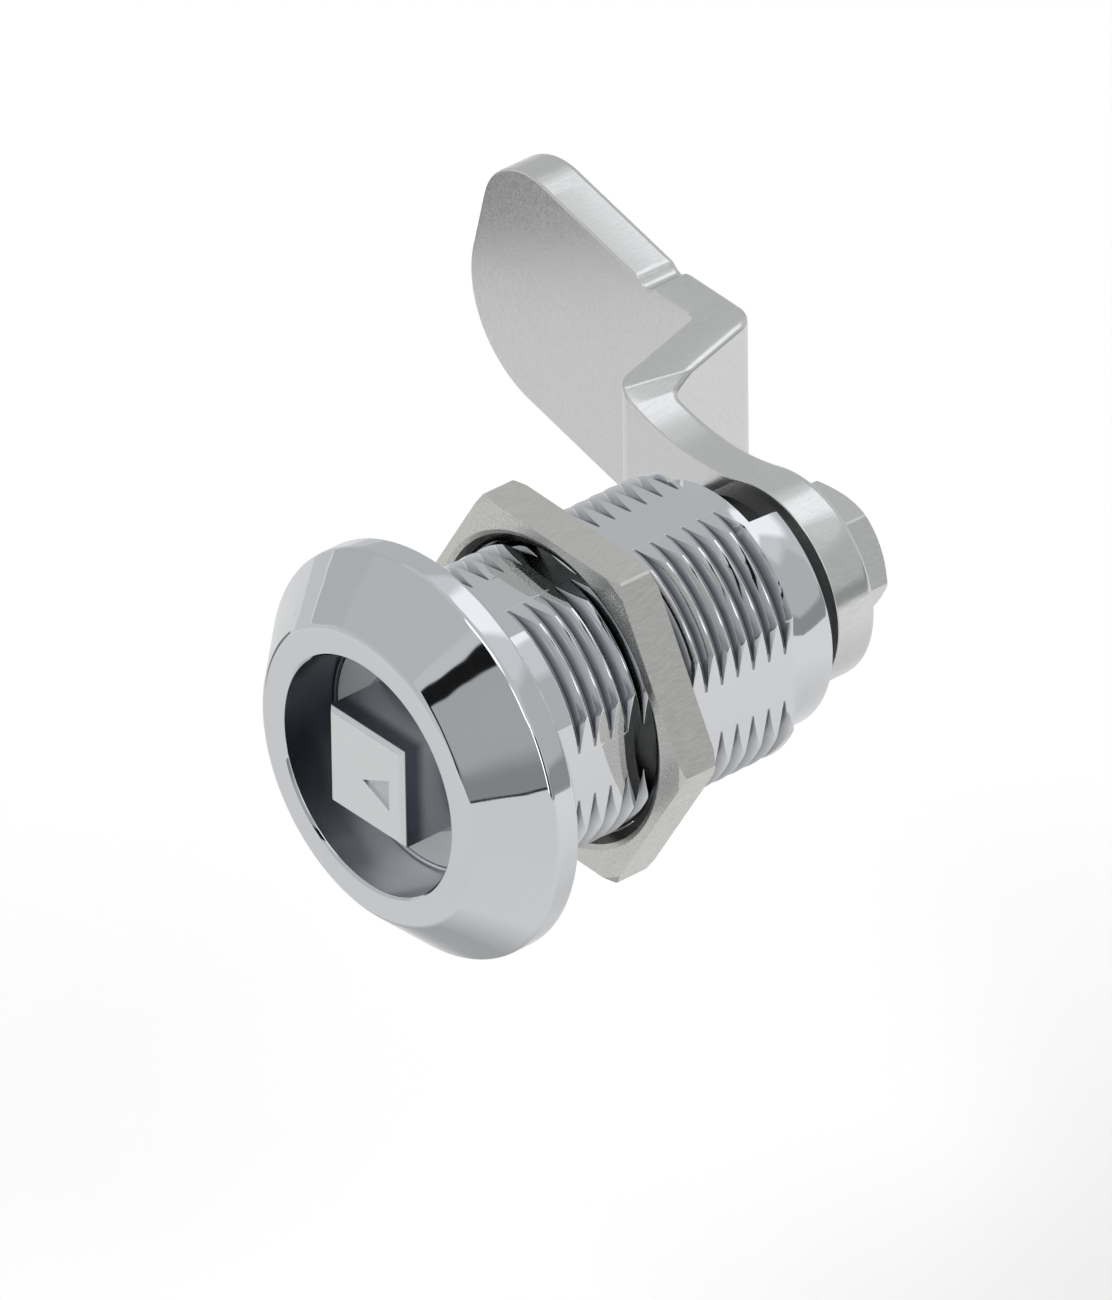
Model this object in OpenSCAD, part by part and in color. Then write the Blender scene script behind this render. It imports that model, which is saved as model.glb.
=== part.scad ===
// Quarter-turn cam latch for a sheet-metal door, with a square key insert.
// Millimetres. The lock axis is Y and runs from the outside of the door to the inside.
// The origin is on that axis in the plane of the head's back face, which rests on the
// door. Z is up. At rest the cam points to -X and the insert's pointer points the same way.

/* [Head] */
// Outside diameter of the head
head_d = 27; // [24:0.5:32]
// Height of the head in front of the door
head_h = 5.6; // [4.9:0.1:7]
// Diameter of the flat ring at the head's front
head_face_d = 19.6; // [18:0.2:22]
// Length of the straight land next to the door
head_land = 1.75; // [1:0.25:2.5]
// Diameter of the key recess
recess_d = 15.8; // [15.6:0.1:16.8]
// Depth of the key recess
recess_depth = 4.2; // [3.5:0.1:4.6]
// Bevel at the mouth of the key recess
recess_bevel = 0.4; // [0.1:0.1:0.6]

/* [Barrel] */
// Diameter over the thread crests
thread_d = 19.05; // [18.6:0.05:20]
// Thread pitch
thread_pitch = 1.27; // [1:0.01:1.4]
// Depth of the thread grooves
thread_depth = 0.78; // [0.4:0.02:0.9]
// Length of the plain part behind the head
thread_start = 3.4; // [2:0.1:5]
// Number of grooves between the plain part and the collar
thread_grooves = 14; // [8:1:15]
// Distance across the four flats that lock the barrel in the door
barrel_af = 17.2; // [16.6:0.1:18]
// Diameter of the smooth collar behind the thread
collar_d = 17; // [16.6:0.1:18]
// Length of the barrel from the door face to its rear end
barrel_len = 24.8; // [24:0.2:34]
// Chamfer on the rear edge of the collar
collar_chamfer = 0.4; // [0.1:0.1:0.6]

/* [Spindle] */
// Width of the square insert that the key turns
insert_w = 7; // [6:0.5:8]
// Height of the square insert above the floor of the recess
insert_h = 4.2; // [3:0.1:5]
// Bevel round the insert's front face
insert_bevel = 0.3; // [0.1:0.1:0.6]
// Diameter of the flange under the insert
flange_d = 15.2; // [13:0.1:15.4]
// Thickness of the flange
flange_t = 2; // [1.2:0.1:2.6]
// Diameter of the shaft that turns in the barrel
shaft_d = 11; // [10.6:0.1:12]
// Width of the square tail that carries the stop washer and the cam
tail_w = 7; // [6:0.1:7.2]
// Length of the pointer sunk in the insert's face
pointer_len = 2.5; // [1.5:0.1:3]
// Width of the pointer at its base
pointer_w = 2.2; // [1.2:0.1:3]
// Depth of the pointer
pointer_depth = 0.2; // [0.1:0.1:0.8]

/* [Seal] */
// Thickness of the O-ring on the shaft
ring_t = 1.5; // [1:0.1:1.8]
// Width of the O-ring's groove
ring_groove_w = 2; // [1.9:0.1:2.6]
// Distance of the O-ring's centre from the door face
ring_y = 8; // [4:0.5:12]

/* [Stop] */
// Angle that the cam turns through
turn_angle = 90; // [60:5:120]
// Angle that the stop lug covers
lug_angle = 43; // [30:1:50]
// Depth of the stop notch in the rear end of the collar
notch_depth = 2.3; // [1.6:0.1:3]
// Thickness of the stop washer
washer_t = 1.5; // [1:0.1:2.5]
// Diameter of the stop washer
washer_d = 13.2; // [12.6:0.1:13.6]
// Radius of the outer side of the stop lug
lug_r = 8.1; // [7.4:0.1:8.2]
// Radius of the inner side of the stop lug
lug_inner_r = 6.2; // [6.1:0.1:6.3]

/* [Cam] */
// Thickness of the cam's plate
cam_t = 3; // [2:0.1:4]
// Radius of the cam's hub
hub_r = 7; // [6.2:0.05:7.6]
// Radius of the concave sides of the neck
neck_r = 17; // [14:0.5:24]
// Distance of the neck's waist from the lock axis
neck_waist = 6.2; // [5.4:0.1:7.2]
// Width of the cranked leg
leg_w = 15.7; // [14.5:0.1:16.4]
// Distance of the first bend from the lock axis
crank_start = 14.1; // [13:0.1:17]
// Offset of the blade from the hub
crank_depth = 8.6; // [6:0.1:14]
// Angle of the cranked leg from the lock axis
crank_lean = 15; // [5:1:30]
// Outer radius of the two bends
bend_r = 2; // [1.5:0.1:3]
// Inner radius of the two bends
bend_inner_r = 0.8; // [0.3:0.1:1]
// Length of the blade between the second bend and its kink, on the centre line
root_len = 5.8; // [5:0.1:9]
// Width of the blade
blade_w = 16.5; // [15.8:0.1:19]
// Angle by which the blade turns up at its kink
blade_kink = 14.7; // [5:0.1:20]
// Length of the blade beyond its kink, on the centre line
blade_len = 15.85; // [14:0.05:24]
// Radius of the upper corner at the tip
tip_top_r = 4.6; // [2:0.1:6]
// Radius of the lower corner at the tip
tip_bottom_r = 7.3; // [3:0.1:8]
// Radius of the relief nick in the upper edge at the kink
nick_r = 0.9; // [0.4:0.1:1.5]
// Depth of the relief nick
nick_depth = 0.35; // [0.2:0.05:0.6]

/* [Bolt] */
// Nominal diameter of the bolt
bolt_d = 5; // [4:0.5:6]
// Length of the bolt under its head
bolt_len = 12; // [8:1:16]
// Distance across the flats of the bolt's head
bolt_af = 8; // [7.5:0.5:10]
// Height of the bolt's head
bolt_head_h = 3.5; // [2.5:0.1:4]
// Distance of the head's round end face inside its flats
bolt_bevel = 0.2; // [0.1:0.05:0.4]
// Turn of the bolt's head about the lock axis
bolt_turn = -3.5; // [-30:0.5:30]

/* [Nut] */
// Wall of the mounting nut between its bore and the middle of a flat
nut_wall = 1.475; // [1.275:0.025:3.375]
// Thickness of the mounting nut
nut_t = 2.8; // [2.4:0.1:5]
// Distance of the nut from the head
nut_gap = 8.9; // [2:0.1:14]
// Width of the 30 degree bevel at both ends of the nut's bore
nut_bevel = 0.9; // [0.2:0.1:1]
// Distance of the round bevel inside the nut's corners
nut_corner = 0.5; // [0.2:0.1:1.2]
// Turn of the nut about the lock axis
nut_turn = -1.8; // [-30:0.1:30]

/* [Fits] */
// Radial clearance of the shaft in the barrel
shaft_clear = 0.05; // [0.02:0.01:0.09]
// Radial clearance of the flange in its pocket
flange_clear = 0.1; // [0.05:0.05:0.15]
// End play of the spindle
end_play = 0.1; // [0.05:0.05:0.3]
// Clearance of the square tail in the stop washer and in the cam, on each side
tail_clear = 0.05; // [0.02:0.01:0.2]
// Distance of the tail's end inside the cam's rear face
tail_short = 0.3; // [0.1:0.1:0.6]
// Clearance of the O-ring in its groove and under the shaft's surface
ring_clear = 0.02; // [0.01:0.01:0.05]
// Angular clearance on each side of the stop lug
lug_clear_angle = 0.5; // [0.2:0.1:1.5]
// Clearance between the stop lug and the floor of the notch
lug_clear = 0.3; // [0.1:0.1:0.5]
// Radial clearance of the nut over the thread crests
nut_clear = 0.1; // [0.05:0.05:0.3]
// Radial clearance of the bolt in its tapped hole
bolt_clear = 0.05; // [0.02:0.01:0.1]
// Depth of the tapped hole beyond the bolt's end
tap_extra = 2; // [1:0.5:4]

/* [Hidden] */
$fn = 96;
cut = 1;
head_r = head_d / 2;
face_r = head_face_d / 2;
recess_r = recess_d / 2;
floor_y = recess_depth - head_h;
pocket_r = flange_d / 2 + flange_clear;
pocket_y = floor_y + flange_t;
shaft_r = shaft_d / 2;
bore_r = shaft_r + shaft_clear;
crest_r = thread_d / 2;
root_r = crest_r - thread_depth;
crest_flat = thread_pitch / 8;
thread_end = thread_start + thread_grooves * thread_pitch;
collar_r = collar_d / 2;
nut_hole_r = crest_r + nut_clear;
nut_af = 2 * (nut_hole_r + nut_wall);

washer_y = barrel_len + end_play;
cam_y = washer_y + washer_t;
cam_back = cam_y + cam_t;
tail_end = cam_back - tail_short;
tail_hole = tail_w + 2 * tail_clear;
ring_r = shaft_r - ring_clear - ring_t / 2;
ring_floor_r = ring_r - ring_t / 2 - ring_clear;

notch_y = barrel_len - notch_depth;
notch_from = 180 - turn_angle - lug_angle / 2 - lug_clear_angle;
notch_to = 180 + lug_angle / 2 + lug_clear_angle;

blade_y = cam_y + crank_depth;
blade_back = blade_y + cam_t;
crank_end = crank_start + crank_depth * tan(crank_lean);
kink_u = crank_end + root_len;
neck_z = sqrt(pow(hub_r + neck_r, 2) - pow(neck_waist, 2));
kink_top = [kink_u - blade_w / 2 * tan(blade_kink / 2), blade_w / 2];
strip_z = blade_w + blade_len;

function unit(v) = v / norm(v);

// Angle from a to b, taken the short way round
function turn(a, b) = (b - a) > 180 ? b - a - 360 : (b - a) < -180 ? b - a + 360 : b - a;

// Arc of radius r that rounds the corner b between the points a and c
function fillet(a, b, c, r, n = 10) =
    let (u = unit(a - b), v = unit(c - b), half = acos(u * v) / 2,
         m = b + unit(u + v) * r / sin(half),
         p = b + u * r / tan(half) - m, q = b + v * r / tan(half) - m,
         a0 = atan2(p[1], p[0]), sweep = turn(a0, atan2(q[1], q[0])))
    [for (i = [0:n]) m + r * [cos(a0 + sweep * i / n), sin(a0 + sweep * i / n)]];

// Point of the blade at a along it from the kink and b across it
function blade_pt(a, b) = [kink_u + a * cos(blade_kink) - b * sin(blade_kink),
                           a * sin(blade_kink) + b * cos(blade_kink)];

// Points of the neck's concave upper side, from the hub to the full width of the leg
function neck_side(n = 14) =
    let (from = atan2(-neck_z, -neck_waist) + 360,
         to = 270 + acos((neck_z - leg_w / 2) / neck_r))
    [for (i = [0:n]) let (a = from + (to - from) * i / n)
        [neck_waist + neck_r * cos(a), neck_z + neck_r * sin(a)]];

function flip(p) = [p[0], -p[1]];

// Revolves a profile of [radius, y] points about the lock axis
module lathe(profile)
    rotate([-90, 0, 0]) rotate_extrude() polygon(profile);

// Revolves a profile from one angle to another, counted from +X towards +Z
module lathe_part(profile, from, to)
    rotate([-90, 0, 0]) rotate([0, 0, -to]) rotate_extrude(angle = to - from) polygon(profile);

// Round bar on the lock axis
module bar(r, from, to)
    translate([0, from, 0]) rotate([-90, 0, 0]) cylinder(h = to - from, r = r);

// Square bar on the lock axis
module square_bar(w, from, to)
    translate([-w / 2, from, -w / 2]) cube([w, to - from, w]);

// Hexagonal bar on the lock axis, with a corner at the given angle
module hex_bar(af, from, to, at = 0)
    translate([0, from, 0]) rotate([-90, 0, 0]) rotate([0, 0, -at])
        cylinder(h = to - from, r = af / 2 / cos(30), $fn = 6);

module head()
    lathe([[0, -head_h], [face_r, -head_h], [head_r, -head_land], [head_r, 0], [0, 0]]);

// Ring grooves that stand for the thread, with a flat crest and a flat root
module barrel() {
    profile = concat(
        [[0, -head_land], [crest_r, -head_land]],
        [for (i = [0:thread_grooves - 1]) let (y = thread_start + i * thread_pitch)
            each [[crest_r, y + crest_flat], [root_r, y + thread_pitch / 2],
                  [root_r, y + thread_pitch / 2 + crest_flat], [crest_r, y + thread_pitch]]],
        [[crest_r, thread_end + crest_flat], [collar_r, thread_end + crest_flat],
         [collar_r, barrel_len - collar_chamfer], [collar_r - collar_chamfer, barrel_len],
         [0, barrel_len]]);
    intersection() {
        lathe(profile);
        square_bar(barrel_af, -head_land, barrel_len);
    }
}

module housing() {
    color("gainsboro")
    difference() {
        union() {
            head();
            barrel();
        }
        bar(recess_r, -head_h - cut, floor_y);
        lathe([[0, -head_h - cut], [recess_r + recess_bevel + cut, -head_h - cut],
               [recess_r, -head_h + recess_bevel], [0, -head_h + recess_bevel]]);
        bar(pocket_r, floor_y - cut, pocket_y);
        bar(bore_r, pocket_y - cut, barrel_len + cut);
        lathe_part([[bore_r - cut, notch_y], [crest_r + cut, notch_y],
                    [crest_r + cut, barrel_len + cut], [bore_r - cut, barrel_len + cut]],
                   notch_from, notch_to);
    }
}

// Outline of the insert seen from above, drawn out to the insert's width
module insert_side() {
    top = floor_y - insert_h;
    half = insert_w / 2;
    translate([0, 0, -half]) linear_extrude(height = insert_w)
        polygon([[insert_bevel - half, top], [half - insert_bevel, top], [half, top + insert_bevel],
                 [half, pocket_y - flange_t / 2], [-half, pocket_y - flange_t / 2],
                 [-half, top + insert_bevel]]);
}

// Square insert with a bevelled front edge
module insert()
    intersection() {
        insert_side();
        rotate([0, 90, 0]) insert_side();
    }

// Triangular pointer sunk in the insert's face, with its tip towards the cam's side
module pointer() {
    top = floor_y - insert_h;
    translate([-insert_bevel, top + pointer_depth, -insert_bevel])
        rotate([90, 0, 0])
            linear_extrude(height = pointer_depth + cut)
                polygon([[0, 0], [pointer_len, -pointer_w / 2], [pointer_len, pointer_w / 2]]);
}

module spindle() {
    color("lightgray")
    difference() {
        union() {
            insert();
            bar(flange_d / 2, floor_y, pocket_y);
            bar(shaft_r, pocket_y - flange_t / 2, washer_y);
            square_bar(tail_w, washer_y - cut, tail_end);
        }
        pointer();
        lathe([[ring_floor_r, ring_y - ring_groove_w / 2], [shaft_r + cut, ring_y - ring_groove_w / 2],
               [shaft_r + cut, ring_y + ring_groove_w / 2], [ring_floor_r, ring_y + ring_groove_w / 2]]);
        bar(bolt_d / 2 + bolt_clear, cam_back - bolt_len - tap_extra, tail_end + cut);
    }
}

module spindle_o_ring() {
    color("dimgray")
    translate([0, ring_y, 0]) rotate([-90, 0, 0])
        rotate_extrude() translate([ring_r, 0]) circle(d = ring_t, $fn = 48);
}

module stop_washer() {
    color("silver")
    difference() {
        union() {
            bar(washer_d / 2, washer_y, cam_y);
            lathe_part([[washer_d / 2 - cut, washer_y], [lug_r, washer_y], [lug_r, cam_y],
                        [washer_d / 2 - cut, cam_y]],
                       180 - lug_angle / 2, 180 + lug_angle / 2);
            lathe_part([[lug_inner_r, notch_y + lug_clear], [lug_r, notch_y + lug_clear],
                        [lug_r, washer_y + washer_t / 2], [lug_inner_r, washer_y + washer_t / 2]],
                       180 - lug_angle / 2, 180 + lug_angle / 2);
        }
        square_bar(tail_hole, washer_y - cut, cam_y + cut);
    }
}

// The strip seen from above: flat hub, leaning leg and flat blade, with both bends rounded
module cam_strip() {
    lean = [cos(crank_lean), sin(crank_lean)];
    inner_1 = crank_start - (cam_t - cam_t * lean[1]) / lean[0];
    inner_2 = inner_1 + crank_depth * tan(crank_lean);
    far = kink_u + blade_len + strip_z;
    near = hub_r + cut;
    front = [[-near, cam_y], [crank_start, cam_y], [crank_end, blade_y], [far, blade_y]];
    back = [[-near, cam_back], [inner_1, cam_back], [inner_2, blade_back], [far, blade_back]];
    outline = concat(
        [front[0]],
        fillet(front[0], front[1], front[2], bend_r),
        fillet(front[1], front[2], front[3], bend_inner_r, 4),
        [front[3], back[3]],
        fillet(back[3], back[2], back[1], bend_r),
        fillet(back[2], back[1], back[0], bend_inner_r, 4),
        [back[0]]);
    translate([0, 0, -strip_z]) linear_extrude(height = 2 * strip_z)
        polygon([for (p = outline) [-p[0], p[1]]]);
}

// The cam seen from the front: neck, leg, root and kinked blade
module cam_outline() {
    side = neck_side();
    last = len(side) - 1;
    top_tip = blade_pt(blade_len, blade_w / 2);
    bottom_tip = blade_pt(blade_len, -blade_w / 2);
    kink_bottom = [2 * kink_u - kink_top[0], -kink_top[1]];
    points = concat(
        [for (i = [0:last - 1]) side[i]],
        fillet(side[last - 1], side[last], kink_top, bend_r, 6),
        [kink_top],
        fillet(kink_top, top_tip, bottom_tip, tip_top_r),
        fillet(top_tip, bottom_tip, kink_bottom, tip_bottom_r, 14),
        fillet(bottom_tip, kink_bottom, flip(side[last]), bend_r, 4),
        fillet(kink_bottom, flip(side[last]), flip(side[last - 1]), bend_r, 6),
        [for (i = [last - 1:-1:0]) flip(side[i])]);
    polygon([for (p = points) [-p[0], p[1]]]);
}

module cam() {
    color("darkgray")
    difference() {
        intersection() {
            cam_strip();
            union() {
                bar(hub_r, cam_y, cam_back);
                translate([0, blade_back, 0]) rotate([90, 0, 0])
                    linear_extrude(height = blade_back - cam_y) cam_outline();
            }
        }
        square_bar(tail_hole, cam_y - cut, cam_back + cut);
        translate([-kink_top[0], blade_y - cut, kink_top[1] + nick_r - nick_depth]) rotate([-90, 0, 0])
            cylinder(h = cam_t + 2 * cut, r = nick_r, $fn = 32);
    }
}

// Round bar with both ends or only the rear end coned at 30 degrees, from the radius of each face
module coned_bar(face, wide, from, to, both = true) {
    slope = (wide - face) * tan(30);
    lathe(concat([[0, from]],
                 both ? [[face, from], [wide, from + slope]] : [[wide, from]],
                 [[wide, to - slope], [face, to], [0, to]]));
}

module cam_bolt() {
    head_end = cam_back + bolt_head_h;
    color("darkgray")
    union() {
        bar(bolt_d / 2, cam_back - bolt_len, cam_back + bolt_head_h / 2);
        intersection() {
            hex_bar(bolt_af, cam_back, head_end, bolt_turn);
            coned_bar(bolt_af / 2 - bolt_bevel, bolt_af / 2 + cut, cam_back - cut, head_end, false);
        }
    }
}

module mounting_nut() {
    bevel_y = nut_bevel * tan(30);
    color("antiquewhite")
    translate([0, nut_gap, 0])
    difference() {
        intersection() {
            hex_bar(nut_af, 0, nut_t, nut_turn);
            coned_bar(nut_af / 2 / cos(30) - nut_corner, nut_af / 2 / cos(30) + cut, 0, nut_t);
        }
        bar(nut_hole_r, -cut, nut_t + cut);
        lathe([[0, -bevel_y], [nut_hole_r + 2 * nut_bevel, -bevel_y], [nut_hole_r, bevel_y], [0, bevel_y]]);
        lathe([[0, nut_t - bevel_y], [nut_hole_r, nut_t - bevel_y],
               [nut_hole_r + 2 * nut_bevel, nut_t + bevel_y], [0, nut_t + bevel_y]]);
    }
}

housing();
spindle();
spindle_o_ring();
stop_washer();
cam();
cam_bolt();
mounting_nut();
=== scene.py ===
# %% [markdown]
# # A quarter-turn cam latch
# A small lock for a sheet-metal door. A bright chromed housing holds a spindle with a square
# insert, and a cranked cam on the spindle's rear end pulls behind the frame when a key turns it.
# The solids of the CAD model come in as the frame of the scene. Mirror chrome shows every flat
# triangle of a CAD mesh, so the lathed and stamped pieces are worked out again here as smooth
# surfaces, at the same sizes. All sizes below are in millimetres.

import math

import bmesh
import bpy
import numpy as np
from mathutils import Matrix, Vector


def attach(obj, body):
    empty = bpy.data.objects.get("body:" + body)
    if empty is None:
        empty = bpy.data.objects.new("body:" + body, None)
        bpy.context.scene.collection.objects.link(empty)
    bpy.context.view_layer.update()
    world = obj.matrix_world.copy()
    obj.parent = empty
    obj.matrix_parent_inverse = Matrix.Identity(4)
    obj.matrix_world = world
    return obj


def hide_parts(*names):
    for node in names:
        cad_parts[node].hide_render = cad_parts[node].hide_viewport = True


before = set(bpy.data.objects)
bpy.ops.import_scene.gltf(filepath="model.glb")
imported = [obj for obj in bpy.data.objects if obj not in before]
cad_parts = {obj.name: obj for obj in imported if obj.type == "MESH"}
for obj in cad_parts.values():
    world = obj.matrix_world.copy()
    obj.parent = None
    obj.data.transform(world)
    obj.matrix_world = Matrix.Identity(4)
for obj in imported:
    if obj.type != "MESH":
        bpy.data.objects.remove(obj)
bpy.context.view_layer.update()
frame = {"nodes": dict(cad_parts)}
print("CAD nodes:", ", ".join(sorted(frame["nodes"])))

# %% [markdown]
# ## From numbers to a mesh
# A surface is a grid of points: rows one way, columns the other. Neighbouring points make a
# quad. Where a grid closes to a point or a wall has no height its quads have no area, and
# merging the doubles takes them away. Working on whole arrays keeps each shape to the formula
# in its docstring, which is easier to check than a list of points.

# %% grids
MM = 0.001


def grid_quads(rows, columns, wrap_rows=True, wrap_columns=True):
    """Quad (i, j), (i, j+1), (i+1, j+1), (i+1, j) for every cell of a rows x columns grid."""
    i = np.arange(rows if wrap_rows else rows - 1)[:, None]
    j = np.arange(columns if wrap_columns else columns - 1)[None, :]
    i2, j2 = (i + 1) % rows, (j + 1) % columns
    corners = [i * columns + j, i * columns + j2, i2 * columns + j2, i2 * columns + j]
    return np.stack(corners, axis=-1).reshape(-1, 4)


def make_piece(name, points, quads, body, node, crease=34):
    """Builds a mesh from points in mm, closes it, turns it outwards and puts it on its body."""
    mesh = bpy.data.meshes.new(name)
    mesh.from_pydata((points.reshape(-1, 3) * MM).tolist(), [], quads.tolist())
    work = bmesh.new()
    work.from_mesh(mesh)
    bmesh.ops.remove_doubles(work, verts=work.verts, dist=0.002 * MM)
    bmesh.ops.recalc_face_normals(work, faces=work.faces)
    work.to_mesh(mesh)
    work.free()
    mesh.shade_smooth()
    mesh.set_sharp_from_angle(angle=math.radians(crease))
    piece = bpy.data.objects.new(name, mesh)
    bpy.context.scene.collection.objects.link(piece)
    flat = piece.modifiers.new("flat faces stay flat", "WEIGHTED_NORMAL")
    flat.keep_sharp = True
    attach(piece, body)
    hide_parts(node)
    print(f"{name}: {len(mesh.vertices)} vertices, {len(mesh.polygons)} faces")
    return piece


# %% [markdown]
# ## Corners that catch the light
# No cast or plated edge is perfectly sharp. A narrow arc at each corner of a profile gives the
# bright line that the eye reads as a real edge. A Bevel modifier would do it too, but an arc in
# the profile costs one row per step and never cuts into its neighbours.

# %% rounded profiles


def soften(corners, radii, steps=6):
    """Arc in each corner of a closed profile: the centre lies on the bisector at
    r / sin(half the angle), and the arc is swept from one tangent point to the other."""
    p = np.asarray(corners, float)
    r = np.asarray(radii, float)[:, None]
    u = np.roll(p, 1, axis=0) - p
    v = np.roll(p, -1, axis=0) - p
    u /= np.linalg.norm(u, axis=1, keepdims=True)
    v /= np.linalg.norm(v, axis=1, keepdims=True)
    half = np.arccos(np.clip((u * v).sum(1, keepdims=True), -1, 1)) / 2
    middle = p + (u + v) / np.linalg.norm(u + v, axis=1, keepdims=True) * r / np.sin(half)
    first = (p + u * r / np.tan(half) - middle)[:, None]
    last = (p + v * r / np.tan(half) - middle)[:, None]
    sweep = (math.pi - 2 * half)[:, None]
    t = np.linspace(0, 1, steps)[None, :, None]
    arc = (np.sin((1 - t) * sweep) * first + np.sin(t * sweep) * last) / np.sin(sweep)
    return (middle[:, None] + arc).reshape(-1, 2)


def spin(profile, angles):
    """Carries a profile of [radius, y] about the lock axis: x = r cos a, z = r sin a.
    The profile is one for all angles, or has one row of points for each angle."""
    full = np.broadcast_to(profile, (len(angles), *np.shape(profile)[-2:]))
    r, y = full[..., 0], full[..., 1]
    a = np.asarray(angles)[:, None]
    return np.stack([r * np.cos(a), y, r * np.sin(a)], axis=-1)


def round_angles(steps, *extra):
    """Evenly spaced angles round the axis, with the extra ones in degrees put in between."""
    even = np.linspace(-180, 180, steps, endpoint=False)
    near = [(np.asarray(e, float).ravel() + 180) % 360 - 180 for e in extra]
    return np.radians(np.unique(np.round(np.concatenate([even, *near]), 6)))


# %% [markdown]
# ## The housing
# Head, barrel and collar are one zinc casting, polished and chromed. Four flats are cut along
# the barrel so that it can't turn in the door, and they leave the thread only on the four round
# quarters: each groove ends in a sharp point where it runs out on a flat. One closed profile is
# carried round the axis. Its thread part is different at every angle, because the flat cuts the
# crests down, and the crest's edge slides down the flank until the groove vanishes.

# %% sizes of the housing
HEAD_R = 13.5
HEAD_H = 5.6
FACE_R = 9.8
LAND = 1.75
RECESS_R = 7.9
FLOOR_Y = -1.4
POCKET_R = 7.7
POCKET_Y = 0.6
BORE_R = 5.55
CREST_R = 9.525
PITCH = 1.27
THREAD_DEPTH = 0.78
THREAD_START = 3.4
GROOVES = 14
FLAT = 8.6
COLLAR_R = 8.5
BARREL_END = 24.8
NOTCH_Y = 22.5
NOTCH = (67.5, 202.0)
RECESS_BEVEL = 0.18
COLLAR_CHAMFER, CHAMFER_MIDDLE = 0.4, 0.12
ARC_STEPS = 9
CREST_SHARE, FLANK_SHARE = 1 / 8, 3 / 8
THREAD_END = THREAD_START + GROOVES * PITCH + PITCH * CREST_SHARE
THREAD_LAST = THREAD_END - 0.02

# %% the thread


def flat_radius(angle):
    """Distance to the nearest of the four flats: F / max(|cos a|, |sin a|)."""
    return FLAT / np.maximum(np.abs(np.cos(angle)), np.abs(np.sin(angle)))


def helix_rise(angle):
    """Share of a pitch that the thread has risen: a / 360 degrees, run back across the
    flat at 180 degrees, where no groove shows, so that the grid closes on itself."""
    a = np.degrees(angle)
    edge = 170.0
    back = np.sign(a) * (180 - np.abs(a)) / (180 - edge) * edge / 360
    return np.where(np.abs(a) < edge, a / 360, back)


def thread_rows(angle, edge=0.035):
    """Six points of each pitch as [radius, y] for every angle: both ends of the crest with a
    small bevel, and both ends of the root. The share s of the depth that the flat has
    cut off moves the crest's ends down the flanks by 3/8 of a pitch times s."""
    flat = flat_radius(angle)[:, None]
    share = np.clip((CREST_R - flat) / THREAD_DEPTH, 0, 1)
    slip = share * FLANK_SHARE
    e = edge * (1 - share)
    top = np.minimum(CREST_R, flat)
    down = np.minimum(top, CREST_R - (slip + e) / FLANK_SHARE * THREAD_DEPTH)
    root = np.minimum(CREST_R - THREAD_DEPTH, flat)
    root_from = CREST_SHARE + FLANK_SHARE + 0 * e
    phase = np.stack([-slip + e, CREST_SHARE + slip - e, CREST_SHARE + slip + e, root_from,
                      root_from + CREST_SHARE, 1 - slip - e], axis=-1)
    radius = np.stack([top, top, down, root, root, down], axis=-1)
    turns = np.arange(GROOVES)[None, :, None] + phase + helix_rise(angle)[:, None, None]
    y = THREAD_START + PITCH * turns
    radius = np.broadcast_to(radius, y.shape)
    radius = np.where(y > THREAD_LAST, top[:, :, None], radius)
    y = np.minimum(y, THREAD_LAST)
    return np.stack([radius, y], axis=-1).reshape(len(angle), -1, 2)


# %% the whole casting


def housing_profile(angle, in_notch):
    """Closed profile for every angle: recess and head, plain barrel, thread, collar, bore. The
    last two corners of the front only aim its last arc and are dropped. In the notch the
    collar's rows are pressed down to the notch's floor."""
    n = len(angle)
    front = soften(
        [[BORE_R, POCKET_Y], [POCKET_R, POCKET_Y], [POCKET_R, FLOOR_Y], [RECESS_R, FLOOR_Y],
         [RECESS_R, RECESS_BEVEL - HEAD_H], [RECESS_R + RECESS_BEVEL, -HEAD_H], [FACE_R, -HEAD_H],
         [HEAD_R, -LAND], [HEAD_R, 0], [CREST_R, 0], [0, 12]],
        [0.02, 0.02, 0.05, 0.15, 0.1, 0.1, 0.8, 0.5, 0.3, 0.02, 0], steps=ARC_STEPS)[:-2 * ARC_STEPS]
    front = np.broadcast_to(front, (n, *front.shape))
    top = np.minimum(CREST_R, flat_radius(angle))[:, None]
    plain = np.stack([np.repeat(top, 2, axis=1), np.broadcast_to([0.0, 1.2], (n, 2))], axis=-1)
    step = np.stack([top, np.full((n, 1), THREAD_LAST)], axis=-1)
    rear = np.array([[COLLAR_R + 0.03, THREAD_END], [COLLAR_R, THREAD_END + 0.05],
                     [COLLAR_R, NOTCH_Y], [COLLAR_R, BARREL_END - COLLAR_CHAMFER],
                     [COLLAR_R - CHAMFER_MIDDLE, BARREL_END - CHAMFER_MIDDLE],
                     [COLLAR_R - COLLAR_CHAMFER, BARREL_END],
                     [BORE_R + 0.1, BARREL_END], [BORE_R, BARREL_END - 0.1], [BORE_R, NOTCH_Y]])
    low = rear.copy()
    low[3:6, 0] = COLLAR_R
    low[6:8, 0] = BORE_R
    low[:, 1] = np.minimum(low[:, 1], NOTCH_Y)
    rear = np.where(np.asarray(in_notch)[:, None, None], low, rear)
    return np.concatenate([front, plain, thread_rows(angle), step, rear], axis=1)


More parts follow.
